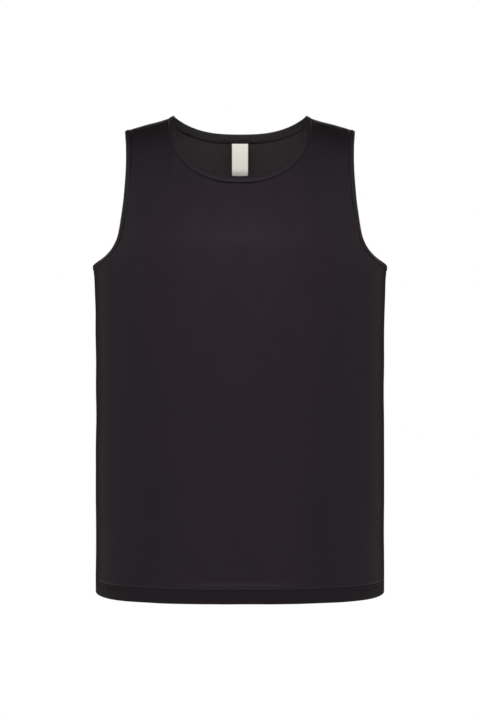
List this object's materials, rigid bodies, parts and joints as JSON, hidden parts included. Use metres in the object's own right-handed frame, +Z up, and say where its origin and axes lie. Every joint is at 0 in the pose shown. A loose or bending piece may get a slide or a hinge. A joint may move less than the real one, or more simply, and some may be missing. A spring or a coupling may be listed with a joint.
{
  "type": "sleeveless t-shirt, worn and hollow",
  "caption": "Sleeveless round-neck sports T-shirt in its worn, filled-out shape, hollow, with open neck, armholes and hem, bound edges and a neck label.",
  "frame": {"origin": "between the shoulders, in the plane of the side seams and level with the middle of the shoulder seams, where the wearer's shoulders hold the shirt up", "axes": "+Z up, +X to the wearer's left, which is the viewer's right from the front, and +Y towards the back, so the front faces -Y"},
  "size_m": [0.4396, 0.2319, 0.7159],
  "materials": {
    "body_knit": "fine black polyester knit, soft sheen",
    "binding_knit": "black knit binding, folded over the edge and stitched",
    "label_tape": "white woven label tape, bare"
  },
  "bodies": {
    "root": {"front_panel": "body_knit", "back_panel": "body_knit", "neck_binding": "binding_knit", "armhole_binding_left": "binding_knit", "armhole_binding_right": "binding_knit", "neck_label": "label_tape"}
  },
  "joints": []
}
